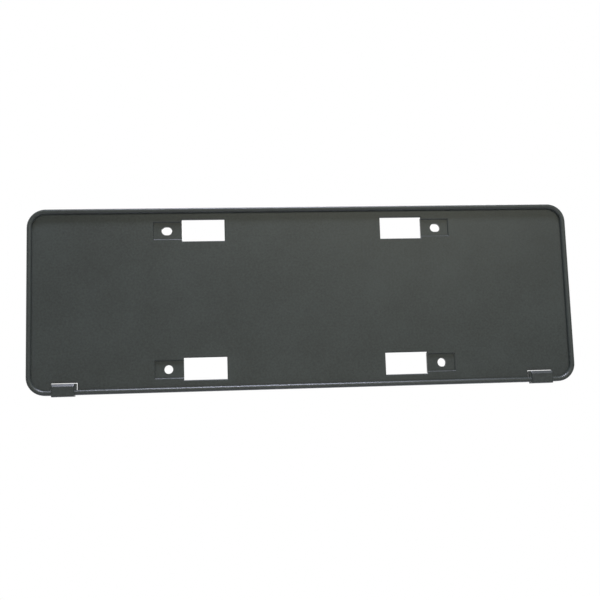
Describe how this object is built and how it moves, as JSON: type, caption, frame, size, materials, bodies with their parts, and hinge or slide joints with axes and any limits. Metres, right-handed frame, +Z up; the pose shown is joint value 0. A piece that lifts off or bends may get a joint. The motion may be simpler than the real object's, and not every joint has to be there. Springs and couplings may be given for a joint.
{
  "type": "number plate holder",
  "caption": "Flat moulded tray with a raised rim, screw seats, cut-outs and lower hooks that holds a 440 x 140 mm number plate on a car.",
  "frame": {"origin": "centre of the four screw holes, on the back plane that lies against the car", "axes": "+X along the plate to the right as seen from the front, +Z up, +Y from the front towards the car"},
  "size_m": [0.45, 0.0087, 0.1522],
  "materials": {
    "black_plastic": "fine moulded texture, satin black"
  },
  "bodies": {
    "root": {"holder": "black_plastic"}
  },
  "joints": []
}
